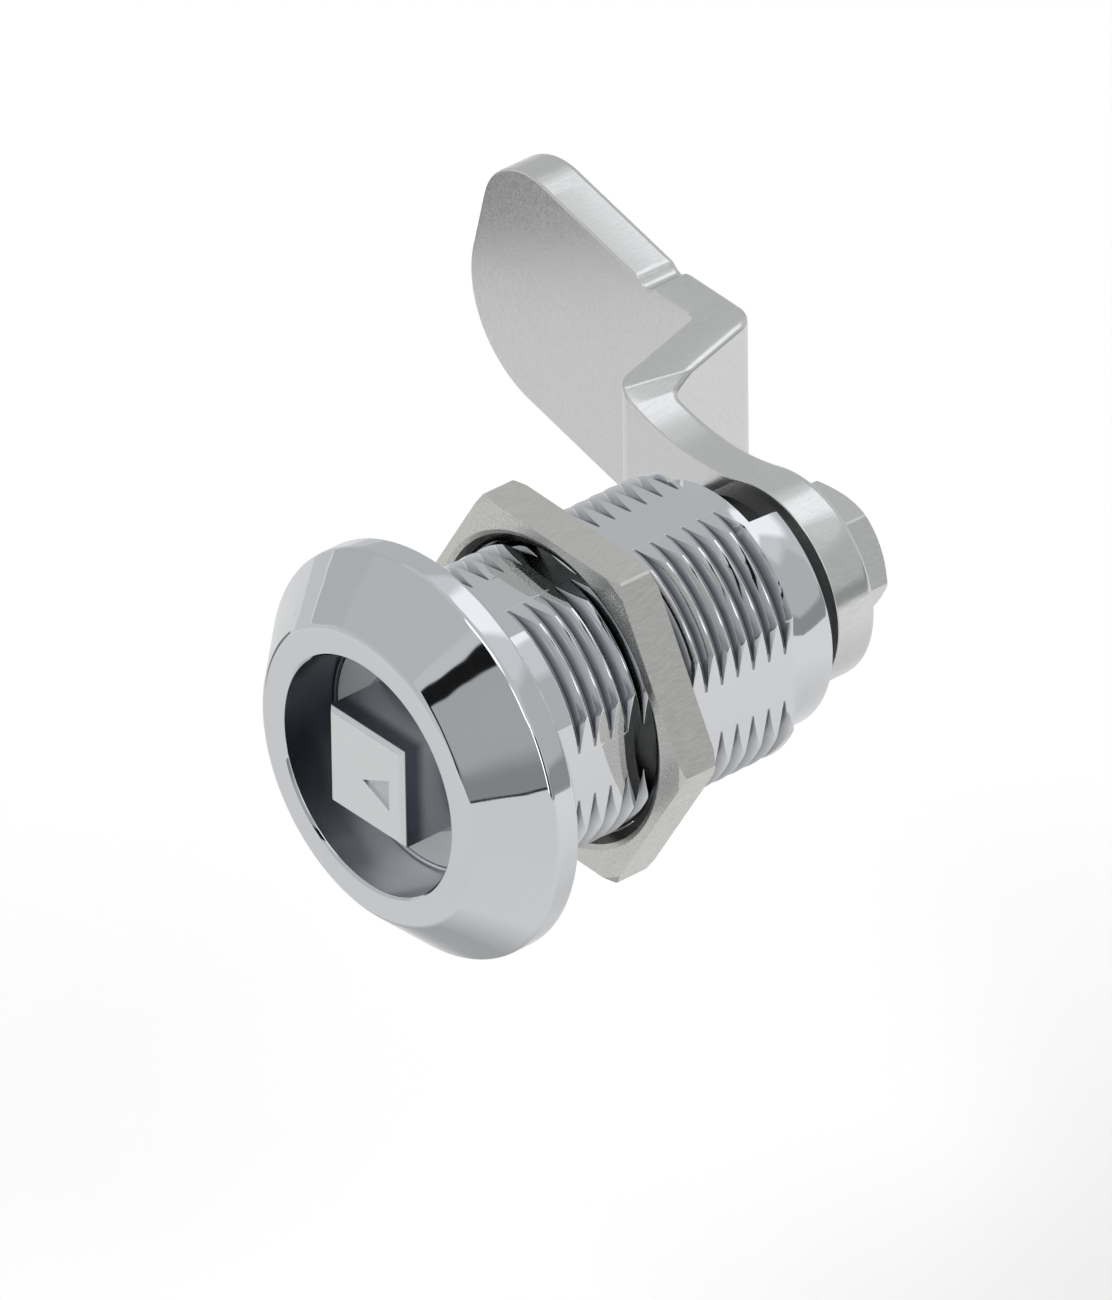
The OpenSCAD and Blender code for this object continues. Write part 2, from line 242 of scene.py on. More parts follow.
flat_edges = np.degrees(np.arccos([FLAT / CREST_R, FLAT / (CREST_R - THREAD_DEPTH)]))
edges = [side + quarter for quarter in (0, 90, 180, 270) for side in (*flat_edges, *-flat_edges)]
around = round_angles(480, edges)
notch = np.radians([NOTCH[0], NOTCH[1] - 360])
around = np.sort(np.concatenate([around, notch, notch]))
inside = (around > notch[0]) | (around < notch[1])
inside[np.searchsorted(around, notch[0]) + 1] = True
inside[np.searchsorted(around, notch[1])] = True
casting = housing_profile(around, inside)
housing = make_piece("housing_casting", spin(casting, around), grid_quads(*casting.shape[:2]),
                     "housing_body", "housing")

# %% [markdown]
# ## Hexagons on the lathe
# The nut and the bolt's head are hexagonal bars turned at their ends, so a round cone cuts the
# corners and leaves an arc on each flat. On the grid this is exact: the radius at each angle is
# the hexagon's, and the row between cone and flat is moved along the axis to where they meet.

# %% nut and bolt


def hexagon(angle, across, at=0.0, blunt=0.06):
    """Radius of a hexagon with a corner at the angle `at`: (w / 2) / cos of the distance from
    the middle of the nearest flat, with the corners blunted by a small amount."""
    local = (np.degrees(angle) - at) % 60 - 30
    sharp = across / 2 / np.cos(np.radians(local))
    return np.minimum(sharp, across / 2 / math.cos(math.radians(30)) - blunt)


def blunt_edges(across, at=0.0, blunt=0.06):
    """Angles in degrees where the blunted corners start and end, and of the corners."""
    corner = across / 2 / math.cos(math.radians(30)) - blunt
    off = 30 - math.degrees(math.acos(across / 2 / corner))
    return (np.arange(6)[:, None] * 60 + at + np.array([-off, 0, off])).ravel()


NUT_W, NUT_Y, NUT_T, NUT_TURN = 22.2, 8.9, 2.8, -1.8
NUT_HOLE_R, NUT_BEVEL, NUT_CORNER = 9.625, 0.9, 0.5
BOLT_W, BOLT_TURN, BOLT_BLUNT = 8.0, -3.5, 0.05
BOLT_R, BOLT_LEN, BOLT_EDGE = 2.5, 12, 0.2
CAM_BACK = 29.4
HEAD_TOP = CAM_BACK + 3.5
SLOPE = math.tan(math.radians(30))

around = round_angles(360, blunt_edges(NUT_W, NUT_TURN))
six = hexagon(around, NUT_W, NUT_TURN)[:, None]
face = NUT_W / 2 / math.cos(math.radians(30)) - NUT_CORNER
drop = np.maximum(six - face, 0) * SLOPE
near = np.minimum(six, face)
bevel_r = NUT_HOLE_R + NUT_BEVEL
bevel_y = NUT_BEVEL * SLOPE
radius = np.concatenate([near, six, six, near, 0 * near + bevel_r, 0 * near + NUT_HOLE_R,
                         0 * near + NUT_HOLE_R, 0 * near + bevel_r], axis=1)
height = np.concatenate([0 * drop, drop, NUT_T - drop, 0 * drop + NUT_T, 0 * drop + NUT_T,
                         0 * drop + NUT_T - bevel_y, 0 * drop + bevel_y, 0 * drop], axis=1)
profile = np.stack([radius, NUT_Y + height], axis=-1)
nut = make_piece("hexagon_nut", spin(profile, around), grid_quads(*profile.shape[:2]),
                 "nut_body", "mounting_nut", crease=14)

around = round_angles(180, blunt_edges(BOLT_W, BOLT_TURN, BOLT_BLUNT))
six = hexagon(around, BOLT_W, BOLT_TURN, BOLT_BLUNT)[:, None]
face = BOLT_W / 2 - BOLT_EDGE
drop = np.maximum(six - face, 0) * SLOPE
zero = 0 * six
tail = zero + CAM_BACK - BOLT_LEN
radius = np.concatenate([zero, zero + BOLT_R - BOLT_EDGE, zero + BOLT_R, zero + BOLT_R, six, six,
                         zero + face, zero + face - 0.1, zero], axis=1)
height = np.concatenate([tail, tail, tail + BOLT_EDGE, zero + CAM_BACK, zero + CAM_BACK,
                         HEAD_TOP - drop, zero + HEAD_TOP - 0.01, zero + HEAD_TOP,
                         zero + HEAD_TOP], axis=1)
profile = np.stack([radius, height], axis=-1)
bolt = make_piece("bolt", spin(profile, around),
                  grid_quads(*profile.shape[:2], wrap_columns=False),
                  "spindle_body", "cam_bolt", crease=20)

# %% [markdown]
# ## The cam
# The cam is stamped from 3 mm plate and bent twice, so it has one sharp side, where the punch
# left a fine burr, and one rolled side. It is worked out in two steps. First its outline is
# drawn as if the plate were still straight, as two chains of points that meet at both ends.
# Then every point is moved to its place between the bent front and rear faces of the strip.

# %% sizes of the cam
CAM_Y, CAM_T = 26.4, 3.0
HUB_R, NECK_R, WAIST = 7.0, 17.0, 6.2
LEG_W, BLADE_W, BLADE_LEN, ROOT = 15.7, 16.5, 15.85, 5.8
CRANK_AT, CRANK_DEPTH, LEAN = 14.1, 8.6, math.radians(15)
KINK = math.radians(14.7)
TIP_TOP, TIP_BOTTOM = 4.6, 7.3
BLADE_Y = CAM_Y + CRANK_DEPTH
CRANK_TO = CRANK_AT + CRANK_DEPTH * math.tan(LEAN)
KINK_AT = CRANK_TO + ROOT
BEND_FROM, BEND_TO = 11.0, 18.5

# %% the bent strip


def bent_line(points, radii):
    """Front or rear face of the strip seen from above, as distances along it and [u, y]."""
    line = soften(points, radii, steps=12)[12:-12]
    along = np.concatenate([[0], np.cumsum(np.linalg.norm(np.diff(line, axis=0), axis=1))])
    return along, line


inner = CRANK_AT - (CAM_T - CAM_T * math.sin(LEAN)) / math.cos(LEAN)
reach = CRANK_DEPTH * math.tan(LEAN)
lines = [
    bent_line([[-90, 0], [BEND_FROM, CAM_Y], [CRANK_AT, CAM_Y], [CRANK_TO, BLADE_Y],
               [BEND_TO, BLADE_Y], [90, 0]], [0, 0, 2.0, 0.8, 0, 0]),
    bent_line([[-90, 0], [BEND_FROM, CAM_BACK], [inner, CAM_BACK], [inner + reach, BLADE_Y + CAM_T],
               [BEND_TO, BLADE_Y + CAM_T], [90, 0]], [0, 0, 0.8, 2.0, 0, 0]),
]
BEND_LEN = (lines[0][0][-1] + lines[1][0][-1]) / 2
SHIFT = BEND_FROM + BEND_LEN - BEND_TO


def on_strip(a, side):
    """Point [u, y] at a along the straight plate, on its front (0) or rear (1) face: the hub
    and the blade keep their length, and the crank is shared out along each face."""
    along, line = lines[side]
    share = np.clip((a - BEND_FROM) / BEND_LEN, 0, 1) * along[-1]
    u = np.interp(share, along, line[:, 0])
    y = np.interp(share, along, line[:, 1])
    before = np.minimum(a - BEND_FROM, 0)
    beyond = np.maximum(a - BEND_FROM - BEND_LEN, 0)
    return np.stack([u + before + beyond, y], axis=-1)


# %% the outline


def arc(centre, r, start, end, steps):
    """Points of a circle from one angle to another, in degrees."""
    a = np.radians(np.linspace(start, end, steps))
    return np.asarray(centre) + r * np.stack([np.cos(a), np.sin(a)], axis=-1)


def blade_point(along, across):
    """Point of the blade on the straight plate, counted from the kink on its centre line."""
    c, s = math.cos(KINK), math.sin(KINK)
    return [KINK_AT + SHIFT + along * c - across * s, along * s + across * c]


neck_z = math.sqrt((HUB_R + NECK_R) ** 2 - WAIST**2)
tangent = math.degrees(math.atan2(neck_z, WAIST))
neck_end = 270 + math.degrees(math.acos((neck_z - LEG_W / 2) / NECK_R))
kink_top = [KINK_AT + SHIFT - BLADE_W / 2 * math.tan(KINK / 2), BLADE_W / 2]
kink_low = [KINK_AT + SHIFT + BLADE_W / 2 * math.tan(KINK / 2), -BLADE_W / 2]
tip = soften([kink_top, blade_point(BLADE_LEN, BLADE_W / 2), blade_point(BLADE_LEN, -BLADE_W / 2),
              kink_low], [0, TIP_TOP, TIP_BOTTOM, 0], steps=40)[40:-40]
hub = arc([0, 0], HUB_R, 180, tangent, 80)
neck = arc([WAIST, neck_z], NECK_R, tangent + 180, neck_end, 40)
far = np.argmax(tip[:, 0])
upper = np.concatenate([hub, neck[1:], [kink_top], tip[:far + 1]])
flip = np.array([1, -1])
lower = np.concatenate([hub * flip, (neck * flip)[1:], [kink_low], tip[:far - 1:-1]])
print(f"cam outline: {len(upper)} points above, {len(lower)} below, bend {BEND_LEN:.2f} mm long")

# %% [markdown]
# The chains are read at common stations, close together at the round ends and in the bends.
# Each station then carries one closed section: front face, rolled edge below, rear face and
# rolled edge above. The square hole for the spindle's tail is left open between four stations.

# %% the plate
HOLE = 3.55
ROLL_IN, ROLL_DEEP = 0.3, 0.5
SHARP = 0.09
NICK_R, NICK_DEPTH = 0.9, 0.35
TIP_RUN = 8
STEEP = 1e4


def stations():
    """Places along the plate: even steps, finer in the bends, closing up at both ends as
    1 - cos does, and one on each side of the square hole."""
    end = upper[-1, 0]
    t = np.linspace(0, math.pi / 2, 40)
    first = -HUB_R + (HUB_R - HOLE) * (1 - np.cos(t))
    last = end - TIP_RUN * (1 - np.cos(t[::-1]))
    middle = np.concatenate([np.linspace(-HOLE, HOLE, 31), np.linspace(HOLE, BEND_FROM, 24),
                             np.linspace(BEND_FROM, BEND_FROM + BEND_LEN, 120),
                             np.linspace(BEND_FROM + BEND_LEN, end - TIP_RUN, 60)])
    return np.unique(np.round(np.concatenate([first, middle, last]), 9))


def inward(chain, a, side):
    """Height of a chain at the stations, and its unit normal towards the plate, (slope, -1) over
    its length. The two ends stand upright, which a very steep slope says."""
    z = np.interp(a, chain[:, 0], chain[:, 1])
    slope = np.gradient(z, a)
    slope[[0, -1]] = [side * STEEP, -side * STEEP]
    normal = np.stack([slope, -np.ones_like(slope)], axis=-1) * side
    return z, normal / np.linalg.norm(normal, axis=1, keepdims=True)


a = stations()
top, top_in = inward(upper, a, 1)
low, low_in = inward(lower, a, -1)
nick = np.sqrt(np.maximum(NICK_R**2 - (a - kink_top[0]) ** 2, 0)) - (NICK_R - NICK_DEPTH)
top = top - np.maximum(nick, 0)
q = np.linspace(0, math.pi / 2, 5)
inset = np.concatenate([[SHARP + 0.12], SHARP * (1 - np.sin(q)), ROLL_IN * (1 - np.cos(q)),
                        [ROLL_IN + 0.1]])
depth = np.concatenate([[0], SHARP * (1 - np.cos(q)), CAM_T - ROLL_DEEP * (1 - np.sin(q)),
                        [CAM_T]])


def edge_points(z, normal):
    """Rows of one edge, as place along the plate, height, and depth below the front face."""
    along = a[:, None] + inset * normal[:, :1]
    up = z[:, None] + inset * normal[:, 1:]
    return np.stack([along, up, np.broadcast_to(depth, along.shape)], axis=-1)


rolled_top, rolled_low = edge_points(top, top_in), edge_points(low, low_in)
at_hole = np.abs(a) <= HOLE + 1e-6


def across_points(side, row):
    """Row of points inside a face: on the edge of the square hole where there is one, and
    elsewhere between the two edges, 0.6 to 0.8 of the way across from the other edge and
    never over the hole."""
    high, base = rolled_top[:, row], rolled_low[:, row]
    wide = high[:, 1] - base[:, 1]
    limits = (0.6, 0.8) if side > 0 else (0.2, 0.4)
    z = np.clip(side * HOLE, base[:, 1] + limits[0] * wide, base[:, 1] + limits[1] * wide)
    middle = (high[:, 0] + base[:, 0]) / 2
    clear = np.where(a < 0, np.minimum(middle, -HOLE), np.maximum(middle, HOLE))
    along = np.where(at_hole, a, clear)
    return np.stack([along, np.where(at_hole, side * HOLE, z), high[:, 2]], axis=-1)[:, None]


sections = np.concatenate([
    across_points(1, 0), across_points(-1, 0), rolled_low,
    across_points(-1, -1), across_points(1, -1), rolled_top[:, ::-1],
], axis=1)
along, up, deep = sections[..., 0], sections[..., 1], sections[..., 2]
share = (deep / CAM_T)[..., None]
place = on_strip(along, 0) * (1 - share) + on_strip(along, 1) * share
plate = np.stack([-place[..., 0], place[..., 1], up], axis=-1)
count, ring = plate.shape[:2]
rear_low = 2 + len(inset)
cells = grid_quads(count, ring, wrap_rows=False)
row = cells[:, 0] % ring
station = cells[:, 0] // ring
hole_cells = (a[station] >= -HOLE - 1e-6) & (a[station] < HOLE - 1e-6)
cells = cells[~(hole_cells & ((row == 0) | (row == rear_low)))]
first, last = np.searchsorted(a, [-HOLE - 1e-6, HOLE - 1e-6])
run = np.arange(first, last)
walls = [np.stack([run * ring + 0, (run + 1) * ring + 0, (run + 1) * ring + rear_low + 1,
                   run * ring + rear_low + 1], axis=-1),
         np.stack([run * ring + 1, (run + 1) * ring + 1, (run + 1) * ring + rear_low,
                   run * ring + rear_low], axis=-1),
         [[s * ring, s * ring + 1, s * ring + rear_low, s * ring + rear_low + 1]
          for s in (first, last)]]
cam = make_piece("cam_plate", plate, np.concatenate([cells, *walls]), "spindle_body", "cam",
                 crease=32)

# %% [markdown]
# ## Finishes
# Every visible piece is metal, and metal is all about what it mirrors and how blurred that
# mirror is. So each finish is a plain tint with a roughness that wanders a little and a
# very shallow grain in the surface. One node group makes the grain for all of them: noise on
# the object's own coordinates, stretched where the real piece was brushed. Image textures
# would show seams on these small parts, and the noise has none.

# %% helpers for node trees


def calc(tree, operation, *inputs):
    """Result of a Math node: its operation on the inputs, each of them a socket or a number."""
    node = tree.nodes.new("ShaderNodeMath")
    node.operation = operation
    for socket, value in zip(node.inputs, inputs):
        if isinstance(value, (int, float)):
            socket.default_value = value
        else:
            tree.links.new(value, socket)
    return node.outputs[0]


def axis_distance(tree, point):
    """Distance of a point to the lock axis: the length of (x, 0, z)."""
    flat = tree.nodes.new("ShaderNodeVectorMath")
    flat.operation = "MULTIPLY"
    flat.inputs[1].default_value = (1, 0, 1)
    far = tree.nodes.new("ShaderNodeVectorMath")
    far.operation = "LENGTH"
    tree.links.new(point, flat.inputs[0])
    tree.links.new(flat.outputs["Vector"], far.inputs[0])
    return far.outputs["Value"]


def mask_group(name, inputs):
    """An empty node group with number inputs and a mask as its output, and its two ends."""
    group = bpy.data.node_groups.new(name, "ShaderNodeTree")
    for socket in inputs:
        group.interface.new_socket(socket, in_out="INPUT", socket_type="NodeSocketFloat")
    group.interface.new_socket("Mask", in_out="OUTPUT", socket_type="NodeSocketFloat")
    return group, group.nodes.new("NodeGroupInput"), group.nodes.new("NodeGroupOutput")


# %% the grain group


def grain_group():
    """Noise on stretched object coordinates: a tint between two colours, a roughness between
    two values, and a height that adds the fine grain to slow waves of the polished surface."""
    group = bpy.data.node_groups.new("metal_grain", "ShaderNodeTree")
    face = group.interface
    for name, kind in (("Stretch", "NodeSocketVector"), ("Tint", "NodeSocketColor"),
                       ("Tint worn", "NodeSocketColor"), ("Roughness low", "NodeSocketFloat"),
                       ("Roughness high", "NodeSocketFloat"), ("Fine", "NodeSocketFloat"),
                       ("Waves", "NodeSocketFloat"), ("Streaks", "NodeSocketFloat")):
        face.new_socket(name, in_out="INPUT", socket_type=kind)
    for name, kind in (("Color", "NodeSocketColor"), ("Roughness", "NodeSocketFloat"),
                       ("Height", "NodeSocketFloat")):
        face.new_socket(name, in_out="OUTPUT", socket_type=kind)
    nodes, links = group.nodes, group.links
    start = nodes.new("NodeGroupInput")
    end = nodes.new("NodeGroupOutput")
    coords = nodes.new("ShaderNodeTexCoord")
    stretch = nodes.new("ShaderNodeVectorMath")
    stretch.operation = "MULTIPLY"
    fine = nodes.new("ShaderNodeTexNoise")
    fine.inputs["Scale"].default_value = 1.0
    fine.inputs["Detail"].default_value = 3.0
    broad = nodes.new("ShaderNodeTexNoise")
    broad.inputs["Scale"].default_value = 260.0
    broad.inputs["Detail"].default_value = 1.0
    rough = nodes.new("ShaderNodeMapRange")
    rough.inputs["From Min"].default_value = 0.3
    rough.inputs["From Max"].default_value = 0.7
    spread = nodes.new("ShaderNodeMapRange")
    which = nodes.new("ShaderNodeMix")
    which.data_type = "FLOAT"
    blend = nodes.new("ShaderNodeMix")
    blend.data_type = "RGBA"
    links.new(coords.outputs["Object"], stretch.inputs[0])
    links.new(start.outputs["Stretch"], stretch.inputs[1])
    links.new(stretch.outputs["Vector"], fine.inputs["Vector"])
    links.new(coords.outputs["Object"], broad.inputs["Vector"])
    links.new(fine.outputs["Fac"], rough.inputs["Value"])
    links.new(rough.outputs["Result"], spread.inputs["Value"])
    links.new(start.outputs["Roughness low"], spread.inputs["To Min"])
    links.new(start.outputs["Roughness high"], spread.inputs["To Max"])
    links.new(start.outputs["Streaks"], which.inputs["Factor"])
    links.new(broad.outputs["Fac"], which.inputs["A"])
    links.new(rough.outputs["Result"], which.inputs["B"])
    links.new(which.outputs["Result"], blend.inputs["Factor"])
    links.new(start.outputs["Tint"], blend.inputs["A"])
    links.new(start.outputs["Tint worn"], blend.inputs["B"])
    grit = calc(group, "MULTIPLY", fine.outputs["Fac"], start.outputs["Fine"])
    height = calc(group, "MULTIPLY_ADD", broad.outputs["Fac"], start.outputs["Waves"], grit)
    links.new(blend.outputs["Result"], end.inputs["Color"])
    links.new(spread.outputs["Result"], end.inputs["Roughness"])
    links.new(height, end.inputs["Height"])
    return group


# %% [markdown]
# The recess, the nut's bore and the sides of the insert are rougher, and they get painted
# shade: a darker colour where shade falls in them, which in the recess turns into a painted
# highlight on its right side. A second group finds them from the distance to the lock axis and
# from the place along it, so no part has to be split only to change its colour. It also finds
# the sunk pointer, which gets painted shade a little darker than the face, and the flange behind
# the insert, whose smaller metallic share makes it pale.

# %% the group for inner surfaces


def inner_group():
    """1 where a point is nearer to the lock axis than a radius and further back than a place
    along it, both in metres, else 0. Along the axis the mask rises over the length Soft."""
    group, start, end = mask_group("inner_surface", ("Radius", "From", "Soft"))
    nodes, links = group.nodes, group.links
    coords = nodes.new("ShaderNodeTexCoord")
    split = nodes.new("ShaderNodeSeparateXYZ")
    links.new(coords.outputs["Object"], split.inputs["Vector"])
    far = axis_distance(group, coords.outputs["Object"])
    near = calc(group, "LESS_THAN", far, start.outputs["Radius"])
    behind = nodes.new("ShaderNodeMapRange")
    behind.interpolation_type = "SMOOTHSTEP"
    full = calc(group, "ADD", start.outputs["From"], start.outputs["Soft"])
    links.new(split.outputs["Y"], behind.inputs["Value"])
    links.new(start.outputs["From"], behind.inputs["From Min"])
    links.new(full, behind.inputs["From Max"])
    both = calc(group, "MULTIPLY", near, behind.outputs["Result"])
    links.new(both, end.inputs["Mask"])
    return group


# %% the group for thread grooves


def groove_group():
    """1 in the depth of the thread and 0 on its crests, from the distance to the axis. The
    flats are left out: the larger of |x| and |z| on them is the flat's own distance. The last
    two limits are places along the lock axis."""
    group, start, end = mask_group("thread_groove", ("Crest", "Root", "Flat", "From", "To"))
    nodes, links = group.nodes, group.links
    coords = nodes.new("ShaderNodeTexCoord")
    size = nodes.new("ShaderNodeVectorMath")
    size.operation = "ABSOLUTE"
    split = nodes.new("ShaderNodeSeparateXYZ")
    along = nodes.new("ShaderNodeSeparateXYZ")
    deep = nodes.new("ShaderNodeMapRange")
    links.new(coords.outputs["Object"], along.inputs["Vector"])
    links.new(coords.outputs["Object"], size.inputs[0])
    links.new(size.outputs["Vector"], split.inputs["Vector"])
    links.new(axis_distance(group, coords.outputs["Object"]), deep.inputs["Value"])
    links.new(start.outputs["Crest"], deep.inputs["From Min"])
    links.new(start.outputs["Root"], deep.inputs["From Max"])
    mask = deep.outputs["Result"]
    for value, test, limit in ((split.outputs["X"], "LESS_THAN", "Flat"),
                               (split.outputs["Z"], "LESS_THAN", "Flat"),
                               (along.outputs["Y"], "GREATER_THAN", "From"),
                               (along.outputs["Y"], "LESS_THAN", "To")):
        mask = calc(group, "MULTIPLY", mask, calc(group, test, value, start.outputs[limit]))
    links.new(mask, end.inputs["Mask"])
    return group


# %% the finishes
SHARP_STEP = 0.00001
INNER_ROUGHNESS = 0.26
RIGHT_SHARE = 0.15
ALL_ROUND = 0.02
THREAD_LIMITS = {"Crest": 0.00948, "Root": 0.0088, "Flat": 0.00858, "From": 0.0032, "To": 0.0212}

grain, inner, groove = grain_group(), inner_group(), groove_group()


def metal(name, tint, worn, roughness, stretch, fine, waves, streaks=0.0, inside=(),
          thread=None, metallic=1.0, floor=None):
    """A metallic finish from the grain group. Each entry of `inside` is a radius, a place and a
    soft length in metres, and a left and a right colour of painted shade: surfaces nearer to the
    lock axis than the radius, and further back than the place, are less smooth and get a painted
    shade colour that goes with x from the left one, at minus the radius, to the right one, at 0.15
    of the radius. With `thread`, a colour, the depth of the thread gets that colour as painted
    shade. With `floor`, a place in metres and a value, all that lies further back than the place
    has that value as its metallic share."""
    finish = bpy.data.materials.new(name)
    finish.use_nodes = True
    nodes, links = finish.node_tree.nodes, finish.node_tree.links
    shader = nodes["Principled BSDF"]
    skin = nodes.new("ShaderNodeGroup")
    skin.node_tree = grain
    for socket, value in (("Stretch", stretch), ("Tint", (*tint, 1)), ("Tint worn", (*worn, 1)),
                          ("Roughness low", roughness[0]), ("Roughness high", roughness[1]),
                          ("Fine", fine), ("Waves", waves), ("Streaks", streaks)):
        skin.inputs[socket].default_value = value
    relief = nodes.new("ShaderNodeBump")
    relief.inputs["Distance"].default_value = 0.00002
    shader.inputs["Metallic"].default_value = metallic
    color, rough = skin.outputs["Color"], skin.outputs["Roughness"]
    # Painted shade near the axis, its colour going from the left one to the right one with x.
    for radius, start, soft, left, right in inside:
        place = nodes.new("ShaderNodeGroup")
        place.node_tree = inner
        place.inputs["Radius"].default_value = radius
        place.inputs["From"].default_value = start
        place.inputs["Soft"].default_value = soft
        darker = nodes.new("ShaderNodeMix")
        darker.data_type = "RGBA"
        side = nodes.new("ShaderNodeSeparateXYZ")
        coords = nodes.new("ShaderNodeTexCoord")
        links.new(coords.outputs["Object"], side.inputs["Vector"])
        turn = nodes.new("ShaderNodeMapRange")
        turn.inputs["From Min"].default_value = -radius
        turn.inputs["From Max"].default_value = radius * RIGHT_SHARE
        links.new(side.outputs["X"], turn.inputs["Value"])
        shade = nodes.new("ShaderNodeMix")
        shade.data_type = "RGBA"
        shade.inputs["A"].default_value = (*left, 1)
        shade.inputs["B"].default_value = (*right, 1)
        links.new(turn.outputs["Result"], shade.inputs["Factor"])
        links.new(shade.outputs["Result"], darker.inputs["B"])
        duller = nodes.new("ShaderNodeMix")
        duller.data_type = "FLOAT"
        duller.inputs["B"].default_value = INNER_ROUGHNESS
        links.new(place.outputs["Mask"], darker.inputs["Factor"])
        links.new(place.outputs["Mask"], duller.inputs["Factor"])
        links.new(color, darker.inputs["A"])
        links.new(rough, duller.inputs["A"])
        color, rough = darker.outputs["Result"], duller.outputs["Result"]
    # Painted shade in the depth of the thread grooves.
    if thread:
        depth = nodes.new("ShaderNodeGroup")
        depth.node_tree = groove
        for socket, value in THREAD_LIMITS.items():
            depth.inputs[socket].default_value = value
        duller = nodes.new("ShaderNodeMix")
        duller.data_type = "RGBA"
        duller.inputs["B"].default_value = (*thread, 1)
        links.new(depth.outputs["Mask"], duller.inputs["Factor"])
        links.new(color, duller.inputs["A"])
        color = duller.outputs["Result"]
    if floor:
        rear = nodes.new("ShaderNodeGroup")
        rear.node_tree = inner
        rear.inputs["Radius"].default_value = ALL_ROUND
        rear.inputs["From"].default_value = floor[0]
        rear.inputs["Soft"].default_value = SHARP_STEP
        share = nodes.new("ShaderNodeMapRange")
        share.inputs["To Min"].default_value = metallic
        share.inputs["To Max"].default_value = floor[1]
        links.new(rear.outputs["Mask"], share.inputs["Value"])
        links.new(share.outputs["Result"], shader.inputs["Metallic"])
    links.new(color, shader.inputs["Base Color"])
    links.new(rough, shader.inputs["Roughness"])
    links.new(skin.outputs["Height"], relief.inputs["Height"])
    links.new(relief.outputs["Normal"], shader.inputs["Normal"])
    print("finish", name)
    return finish


# The recess gets painted shade, nearly black on the left, that turns into a painted highlight on the
# right; the thread grooves get painted shade too.
chrome = metal("polished_chrome", (0.82, 0.835, 0.855), (0.79, 0.805, 0.83), (0.03, 0.05),
               (900, 900, 900), 0.01, 2.6,
               inside=[(0.00792, -0.0054, SHARP_STEP, (0.06, 0.07, 0.09), (0.95, 0.97, 1.0))],
               thread=(0.30, 0.31, 0.33))
# The nut's bore and its chamfer get a nearly black painted shade.
nickel = metal("brushed_nickel", (0.82, 0.81, 0.77), (0.69, 0.68, 0.65), (0.24, 0.32),
               (8000, 1100, 8000), 0.1, 0.0, streaks=1.0,
               inside=[(0.0102, 0.0, SHARP_STEP, (0.10, 0.10, 0.095), (0.10, 0.10, 0.095))])
zinc = metal("satin_zinc", (0.83, 0.835, 0.83), (0.76, 0.765, 0.76), (0.13, 0.21),
             (9000, 1500, 5000), 0.12, 0.3, streaks=0.8)
# The insert's sides get painted shade, darkest at the front and lighter further back, and the sunk
# pointer a lighter painted shade; the flange behind is less metallic.
satin = metal("satin_insert", (0.82, 0.83, 0.84), (0.79, 0.80, 0.81), (0.16, 0.24),
              (6000, 6000, 6000), 0.1, 0.0,
              inside=[(0.0052, -0.00535, SHARP_STEP, (0.11, 0.12, 0.14), (0.11, 0.12, 0.14)),
                      (0.0052, -0.0046, 0.001, (0.42, 0.44, 0.47), (0.42, 0.44, 0.47)),
                      (0.003, -0.00558, SHARP_STEP, (0.60, 0.61, 0.62), (0.60, 0.61, 0.62))],
              metallic=0.8, floor=(-0.00145, 0.3))
# The stop washer is coloured nearly black as painted shade for the deep gap behind the collar.
blackened = metal("painted_shade_steel", (0.05, 0.05, 0.05), (0.08, 0.08, 0.08), (0.3, 0.45),
                  (3000, 3000, 3000), 0.1, 0.0)
rubber = metal("black_rubber", (0.02, 0.02, 0.02), (0.03, 0.03, 0.03), (0.5, 0.7),
               (3000, 3000, 3000), 0.1, 0.0, metallic=0.0)


def dress(piece, finish):
    """Gives a piece its finish."""
    piece.data.materials.clear()
    piece.data.materials.append(finish)


nodes = frame["nodes"]
for piece, finish, slot in ((housing, chrome, "chrome"), (nut, nickel, "nickel"),
                            (bolt, zinc, "zinc"), (cam, zinc, "zinc"),
                            (nodes["spindle"], satin, "insert"),
                            (nodes["stop_washer"], blackened, "blackened"),
                            (nodes["spindle_o_ring"], rubber, "rubber")):
    dress(piece, finish)

# %% [markdown]
# ## The studio
# Chrome has no colour of its own, so the studio is drawn for it: a pale floor, large soft
# panels, and dark gaps between them that give the edges their black lines. The panels are
# painted on the world by direction, and only mirror rays see them. The camera sees plain white
# instead, which gives the white background without any extra light on the object.

# %% panels on the world


def panel_group():
    """Mask of a soft rectangle on the sky: 1 inside, 0 outside, with a soft edge, from the
    distance in azimuth and in elevation to its middle."""
    group, start, end = mask_group("sky_panel", (
        "Azimuth", "Elevation", "Middle azimuth", "Half width", "Middle elevation",
        "Half height", "Edge"))
    nodes, links = group.nodes, group.links
    masks = []
    for value, middle, half in (("Azimuth", "Middle azimuth", "Half width"),
                                ("Elevation", "Middle elevation", "Half height")):
        gap = calc(group, "SUBTRACT", start.outputs[value], start.outputs[middle])
        size = calc(group, "ABSOLUTE", calc(group, "WRAP", gap, 180, -180))
        over = calc(group, "SUBTRACT", size, start.outputs[half])
        mask = nodes.new("ShaderNodeMapRange")
        mask.interpolation_type = "SMOOTHSTEP"
        mask.inputs["From Min"].default_value = -0.5
        mask.inputs["From Max"].default_value = 0.5
        mask.inputs["To Min"].default_value = 1
        mask.inputs["To Max"].default_value = 0
        links.new(calc(group, "DIVIDE", over, start.outputs["Edge"]), mask.inputs["Value"])
        masks.append(mask.outputs["Result"])
    links.new(calc(group, "MULTIPLY", *masks), end.inputs["Mask"])
    return group


